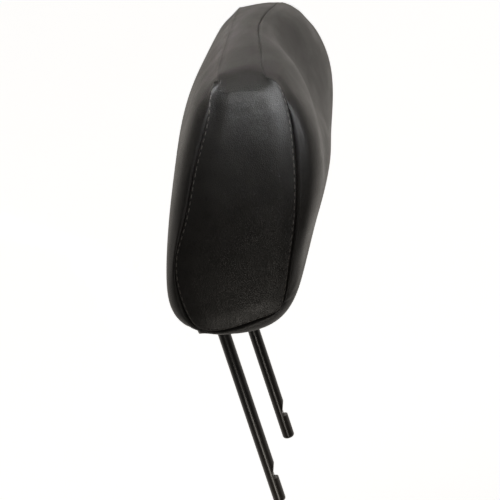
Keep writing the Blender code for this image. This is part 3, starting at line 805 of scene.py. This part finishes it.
coarse = Skin(COARSE, COARSE_PULL)
fine = Skin(FINE, FINE_PULL)
lines = seam_lines()
fold = skin(np.linspace(TOP_FRONT_SEAM, TOP_REAR_SEAM, 200), 0.0)
start_points = coarse.points.copy()
held = coarse.seam_points()
to_fold = distance_to(coarse.points, [fold, fold * np.array([-1, 1, 1])])
soften(coarse, held, to_fold)
swell = inflate(coarse, held, SWELL_LIMIT) * np.clip(to_fold / SWELL_FADE, 0, 1)[:, None]
swell[held] = 0
broad = blurred(coarse, swell, 12)
coarse.points = coarse.points + SWELL_BROAD * broad + SWELL_DETAIL * (swell - broad)
fine.points = fine.points + coarse.spread(coarse.points - start_points, fine)
out = coarse.spread(coarse.normals(), fine)
out /= np.linalg.norm(out, axis=1)[:, None]

side_lines = [lines[k] for k in ("left_front", "right_front", "left_back", "right_back")]
to_side = distance_to(fine.points, side_lines)
to_top_front = distance_to(fine.points, [lines["top_front"]])
to_top_rear = distance_to(fine.points, [lines["top_rear"]])
to_closure = distance_to(fine.points, [lines["closure"]])
to_front_corner = distance_to(fine.points, [lines["top_front"][[0, -1]]])
to_rear_bottom = distance_to(fine.points, [np.array([lines[k][-1] for k in ("left_back", "right_back")])])

# Each panel edge is rolled into its seam by (depth, width), in a valley of (depth, reach)
COVER_SIDE = {"roll": (2.0, 3.2), "valley": (1.4, 13.0)}
GUSSET_SIDE = {"roll": (1.7, 1.3), "valley": (1.7, 15.0)}
TOP_FRONT = {"roll": (2.8, 2.3), "valley": (0.8, 9.0)}
TOP_REAR = {"roll": (0.5, 1.0), "valley": (0.15, 5.0)}
CLOSURE_ROLL = (1.6, 1.8)
FRONT_LIP = 1.5
BACK_LIP = -0.4
LIP_REACH = 8.0
CORNER_DEPTH = 1.2

# Seams run out over this reach at the top front corners
CORNER_REACH = 20.0
CORNER_FADE = 0.85

# The dish between the wings: how far and which way it goes in, and the bounds that it fades at
DISH_DEPTH = 8.0
DISH_WAY = np.array([0.0, 0.91, -0.41])
DISH_HALF_WIDTH = 88.0
DISH_MIDDLE_Z = 322.0
DISH_HALF_HEIGHT = 75.0
DISH_START_Y = -72.0
DISH_FULL_AFTER = 24.0


def puckers():
    """Depth in mm of the faint creases that run from the side seams into the leather."""
    depth = np.zeros(len(fine.points))
    for name, line in lines.items():
        if not name.startswith(("left", "right")):
            continue
        spacing = 19.0 if name.endswith("front") else 27.0
        for k, (spot, along) in enumerate(zip(*even_places(line, spacing, 24.0, 10.0))):
            offset = fine.points - spot
            lengthwise = offset @ along
            away = np.linalg.norm(offset - lengthwise[:, None] * along, axis=1)
            reach = 10.0 + 5.0 * math.sin(2.4 * k + 0.7)
            size = 0.24 + 0.16 * math.sin(3.1 * k + 1.3)
            wave = np.exp(-((lengthwise / (2.8 + 0.8 * math.sin(1.7 * k))) ** 2))
            fade = np.exp(-((away / reach) ** 2)) * away / (away + 1.5)
            near = np.sign(fine.points[:, 0]) == np.sign(spot[0])
            depth += np.where(near, size * wave * fade, 0)
    return depth


creases = puckers()


def dished(points):
    """How the front is pressed in between its wings: a vector in mm for each point on the front."""
    across = 0.5 + 0.5 * np.cos(np.pi * np.clip(points[:, 0] / DISH_HALF_WIDTH, -1, 1))
    up = 0.5 + 0.5 * np.cos(np.pi * np.clip((points[:, 2] - DISH_MIDDLE_Z) / DISH_HALF_HEIGHT, -1, 1))
    forward = np.clip((DISH_START_Y - points[:, 1]) / DISH_FULL_AFTER, 0, 1)
    return (DISH_DEPTH * across * up * forward**2 * (3 - 2 * forward))[:, None] * DISH_WAY


def panel_points(group):
    """Points of the skin as one panel has them, with its edges rolled into its seams."""
    edges = [(to_side, GUSSET_SIDE if group == "gusset" else COVER_SIDE)]
    if group != "back":
        edges.append((to_top_front, TOP_FRONT))
    if group != "front":
        edges.append((to_top_rear, TOP_REAR))
    rolled = [roll(distance, *edge["roll"]) for distance, edge in edges]
    valleys = [edge["valley"][0] * smooth_fall(distance, edge["valley"][1]) for distance, edge in edges]
    depth = np.max(rolled, axis=0) + np.max(valleys, axis=0)
    depth = depth * (1 - CORNER_FADE * smooth_fall(to_front_corner, CORNER_REACH))
    depth = depth + CORNER_DEPTH * smooth_fall(to_rear_bottom, 55.0) * smooth_fall(to_side, 3.5)
    move = -depth - creases
    if group != "gusset":
        lip = FRONT_LIP if group == "front" else BACK_LIP
        rise = lip * smooth_fall(to_closure, LIP_REACH) * np.clip(to_side / 7.0, 0, 1)
        move = np.minimum(move, -roll(to_closure, *CLOSURE_ROLL)) + rise
    return fine.points + out * move[:, None]


panels = {group: panel_points(group) for group in fine.faces}
panels["front"] += dished(fine.points) * (1 - smooth_fall(to_top_front, 26.0))[:, None]

# Where the leather is rubbed: on the wings, and beside the seams
to_seam = np.minimum(np.minimum(to_side, to_top_front), np.minimum(to_top_rear, to_closure))
ridge = np.clip((np.abs(fine.points[:, 0]) - 60) / 40, 0, 1) * (1 - smooth_fall(to_seam, 14.0))
rubbed = np.clip(0.6 * ridge + 0.3 * smooth_fall(np.abs(to_seam - 4.0), 3.0), 0, 1)

LEATHER = leather()
THREAD = thread()
front = panel_shell("front_panel", panels["front"], fine.faces["front"], out, rubbed, LEATHER)
back = panel_shell("back_panel", panels["back"], fine.faces["back"], out, rubbed, LEATHER)
gusset = panel_shell("gusset_panel", panels["gusset"], fine.faces["gusset"], out, rubbed, LEATHER)
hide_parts("front_cover")
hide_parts("back_cover")
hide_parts("side_gusset")


def tree_of(piece):
    """A tree that finds places on a piece's surface."""
    faces = [tuple(face.vertices) for face in piece.data.polygons]
    return BVHTree.FromPolygons([v.co.copy() for v in piece.data.vertices], faces)


gusset_tree = tree_of(gusset)
middle = to_world(0.0, 0.0, 100.0)
for side in ("left", "right"):
    chosen = [lines[side + "_front"], lines[side + "_back"]]
    side_stitching(side + "_side_stitching", chosen, gusset_tree, middle, THREAD)

# ---------------------------------------------------------------- post slots

POST_X = 66.0
SLOT_RADIUS = 7.0
SLOT_REAR = 7.5
SLOT_FRONT = -31.0
BEZEL_WALL = 1.4
BEZEL_GAP = 0.3
CUT_HEIGHTS = (140.0, 200.0)

# The lining's section: how far out from the slot's outline, and how far above the leather
BEZEL_RIM = [(0.0, -1.1), (0.3, -1.45), (1.0, -1.6), (2.4, -1.5), (3.1, -1.1), (3.4, -0.5), (3.4, -0.25)]
BEZEL_COLLAR = [(BEZEL_WALL, -0.25), (BEZEL_WALL, 8.0), (0.0, 8.0)]


def slot_outline(x, margin, turns=14, straight=16):
    """A round-ended slot's outline, margin mm outside the post's own slot."""
    radius = SLOT_RADIUS + margin
    rear, front_end = SLOT_REAR - SLOT_RADIUS, SLOT_FRONT + SLOT_RADIUS
    out = []
    for k in range(turns + 1):
        a = math.pi * k / turns
        out.append((x + radius * math.cos(a), rear + radius * math.sin(a)))
    for k in range(1, straight):
        out.append((x - radius, rear + (front_end - rear) * k / straight))
    for k in range(turns + 1):
        a = math.pi * (1 + k / turns)
        out.append((x + radius * math.cos(a), front_end + radius * math.sin(a)))
    for k in range(1, straight):
        out.append((x + radius, front_end + (rear - front_end) * k / straight))
    return out


def cut_slot(panel, x):
    """Cuts a post's slot through the front panel's underside."""
    outline = slot_outline(x, BEZEL_WALL + BEZEL_GAP)
    count = len(outline)
    points = [(a, b, z) for z in CUT_HEIGHTS for a, b in outline]
    faces = [tuple(range(count)), tuple(range(2 * count - 1, count - 1, -1))]
    faces += [(k, (k + 1) % count, count + (k + 1) % count, count + k) for k in range(count)]
    cutter = bpy.data.objects.new("slot_cutter", closed_mesh("slot_cutter", points, faces))
    bpy.context.scene.collection.objects.link(cutter)
    step = panel.modifiers.new("slot", "BOOLEAN")
    step.operation = "DIFFERENCE"
    step.solver = "EXACT"
    step.object = cutter
    keep_modified(panel)
    bpy.data.objects.remove(cutter)


def slot_bezel(name, x, tree, finish):
    """A moulded lining: a rounded rim that lies on the leather and a collar that goes up inside."""
    profile = BEZEL_RIM + BEZEL_COLLAR
    loops = [slot_outline(x, margin) for margin, _ in profile]
    count = len(loops[0])
    points = []
    for places in zip(*loops):
        for (a, b), (_, rise) in zip(places, profile):
            hit = tree.ray_cast(Vector((a, b, 0)) * MM, Vector((0, 0, 1)))[0]
            points.append((a, b, hit.z / MM + rise))
    n = len(profile)
    faces = []
    for k in range(count):
        a, b = k * n, (k + 1) % count * n
        faces += [(a + j, a + (j + 1) % n, b + (j + 1) % n, b + j) for j in range(n)]
    made = new_piece(name, points, faces, finish)
    made.data.set_sharp_from_angle(angle=math.radians(50))
    return made


PLASTIC = moulded("black_plastic", (0.012, 0.012, 0.012), (0.022, 0.021, 0.02), 0.38, 0.52)
underside = tree_of(front)
for name, side in (("left", -1), ("right", 1)):
    trim = slot_bezel(name + "_slot_trim", side * POST_X, underside, PLASTIC)
    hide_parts(name + "_slot_bezel")
for side in (-1, 1):
    cut_slot(front, side * POST_X)
front.data.shade_smooth()

# ---------------------------------------------------------------- foam

FOAM = foam()
FOAM_VOXEL = 4.0
FOAM_SINK = 1.6
FOAM_BEHIND_LEATHER = 4.0


def foam_piece(name, node):
    """The foam block, with the soft edges and slight shrinkage that foam has."""
    source = frame["nodes"][node]
    made = bpy.data.objects.new(name, source.data.copy())
    bpy.context.scene.collection.objects.link(made)
    remesh = made.modifiers.new("remesh", "REMESH")
    remesh.mode = "VOXEL"
    remesh.voxel_size = FOAM_VOXEL * MM
    soft = made.modifiers.new("soft", "SMOOTH")
    soft.factor = 0.5
    soft.iterations = 4
    keep_modified(made)
    done = made.data
    sunk = np.array([v.co / MM - v.normal * FOAM_SINK for v in done.vertices])
    sunk += dished(sunk - np.array([0.0, FOAM_BEHIND_LEATHER, 0.0]))
    for v, place in zip(done.vertices, sunk):
        v.co = Vector(place) * MM
    done.shade_smooth()
    done.materials.clear()
    done.materials.append(FOAM)
    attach(made, "pillow")
    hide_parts(node)
    return made


foam_piece("front_foam_pad", "front_foam")
foam_piece("rear_foam_pad", "rear_foam")

# ---------------------------------------------------------------- finishes of the rigid parts

finishes = {
    "post_paint": post_paint(),
    "plated_steel": plated_steel(),
    "nylon": nylon(),
    "board_wood": plywood(),
    "pad_rubber": moulded("pad_rubber", (0.018, 0.018, 0.018), (0.032, 0.031, 0.03), 0.7, 0.9),
    "moulded_foam": FOAM,
    "leather": LEATHER,
    "black_plastic": PLASTIC,
}
for part in frame["record"]["subparts"]:
    node = frame["nodes"][part["node"]]
    node.data.materials.clear()
    node.data.materials.append(finishes[part["material_slot"]])

# ---------------------------------------------------------------- floor, light and camera

CAMERA_AZIMUTH = math.radians(-80.5)
CAMERA_ELEVATION = math.radians(16.5)
CAMERA_ROLL = math.radians(-18.24)
CAMERA_TARGET = Vector((0.0, -0.0295, 0.1901))
CAMERA_DISTANCE = 2.0
CAMERA_LENS = 178.4


def camera_axes():
    """The camera's right, up and backward directions."""
    back_to_camera = Vector(
        (
            math.sin(CAMERA_AZIMUTH) * math.cos(CAMERA_ELEVATION),
            -math.cos(CAMERA_AZIMUTH) * math.cos(CAMERA_ELEVATION),
            math.sin(CAMERA_ELEVATION),
        )
    )
    up = (Vector((0, 0, 1)) - back_to_camera * back_to_camera.z).normalized()
    right = up.cross(back_to_camera)
    u = right * math.cos(CAMERA_ROLL) + up * math.sin(CAMERA_ROLL)
    v = up * math.cos(CAMERA_ROLL) - right * math.sin(CAMERA_ROLL)
    return u, v, back_to_camera


u_axis, v_axis, to_camera = camera_axes()
lens = bpy.data.cameras.new("camera")
lens.lens = CAMERA_LENS
lens.sensor_width = 36.0
lens.clip_end = 50.0
camera = bpy.data.objects.new("camera", lens)
turn = Matrix((u_axis, v_axis, to_camera)).transposed().to_4x4()
camera.matrix_world = Matrix.Translation(CAMERA_TARGET + to_camera * CAMERA_DISTANCE) @ turn
bpy.context.scene.collection.objects.link(camera)
bpy.context.scene.camera = camera


FLOOR_SIZE = 6.0
FLOOR_LEVEL = -0.12


def pale_floor():
    """A floor that the camera sees but the leather doesn't reflect."""
    size, level = FLOOR_SIZE, FLOOR_LEVEL
    mesh = bpy.data.meshes.new("floor")
    corners = [(-size, -size, level), (size, -size, level), (size, size, level), (-size, size, level)]
    mesh.from_pydata(corners, [], [(0, 1, 2, 3)])
    floor = bpy.data.objects.new("floor", mesh)
    floor.visible_diffuse = False
    floor.visible_glossy = False
    bpy.context.scene.collection.objects.link(floor)
    n = Nodes("floor", Roughness=0.9)
    n.paint(n.mixed(n.noise(3, 3), (0.90, 0.92, 0.95), (0.93, 0.95, 0.98)))
    n.shader.inputs["Emission Color"].default_value = (1, 1, 1, 1)
    n.shader.inputs["Emission Strength"].default_value = 0.7
    mesh.materials.append(n.material)


def studio_world():
    """White all round for the camera, with light that is dimmer on the side that the left panel faces."""
    world = bpy.data.worlds.new("studio")
    world.use_nodes = True
    tree = world.node_tree
    tree.nodes.clear()
    where = tree.nodes.new("ShaderNodeTexCoord")
    facing = tree.nodes.new("ShaderNodeVectorMath")
    facing.operation = "DOT_PRODUCT"
    facing.inputs[1].default_value = (-0.93, -0.12, 0.05)
    tree.links.new(where.outputs["Generated"], facing.inputs[0])
    fall = tree.nodes.new("ShaderNodeMapRange")
    fall.interpolation_type = "SMOOTHSTEP"
    for key, value in (("From Min", -0.4), ("From Max", 0.62), ("To Min", 0.53), ("To Max", 0.045)):
        fall.inputs[key].default_value = value
    tree.links.new(facing.outputs["Value"], fall.inputs["Value"])
    lit = tree.nodes.new("ShaderNodeBackground")
    lit.inputs["Color"].default_value = (1.0, 0.945, 0.875, 1)
    tree.links.new(fall.outputs["Result"], lit.inputs["Strength"])
    seen = tree.nodes.new("ShaderNodeBackground")
    seen.inputs["Color"].default_value = (1, 1, 1, 1)
    seen.inputs["Strength"].default_value = 1.2
    path = tree.nodes.new("ShaderNodeLightPath")
    mix = tree.nodes.new("ShaderNodeMixShader")
    tree.links.new(path.outputs["Is Camera Ray"], mix.inputs["Fac"])
    tree.links.new(lit.outputs[0], mix.inputs[1])
    tree.links.new(seen.outputs[0], mix.inputs[2])
    out_node = tree.nodes.new("ShaderNodeOutputWorld")
    tree.links.new(mix.outputs[0], out_node.inputs["Surface"])
    bpy.context.scene.world = world


def soft_light(name, place, target, size, power, colour, spread=180.0):
    """A square lamp that the camera doesn't see."""
    lamp = bpy.data.lights.new(name, "AREA")
    lamp.shape = "SQUARE"
    lamp.size = size
    lamp.energy = power
    lamp.color = colour
    lamp.spread = math.radians(spread)
    made = bpy.data.objects.new(name, lamp)
    made.location = place
    aim = Vector(target) - Vector(place)
    made.rotation_euler = aim.to_track_quat("-Z", "Y").to_euler()
    made.visible_camera = False
    bpy.context.scene.collection.objects.link(made)


pale_floor()
studio_world()
soft_light("overhead", (-0.3, 0.1, 2.2), (0, 0, 0.25), 1.6, 3, (1.0, 0.95, 0.88))
soft_light("high_left", (-2.0, -1.1, 1.1), (-0.13, -0.12, 0.38), 0.14, 0.12, (0.96, 0.98, 1.0), 5.0)
soft_light("low_fill", (-0.4, -0.02, -0.1), (-0.13, -0.03, 0.17), 0.15, 0.3, (1.0, 0.94, 0.85))
bpy.context.scene.view_settings.view_transform = "Standard"
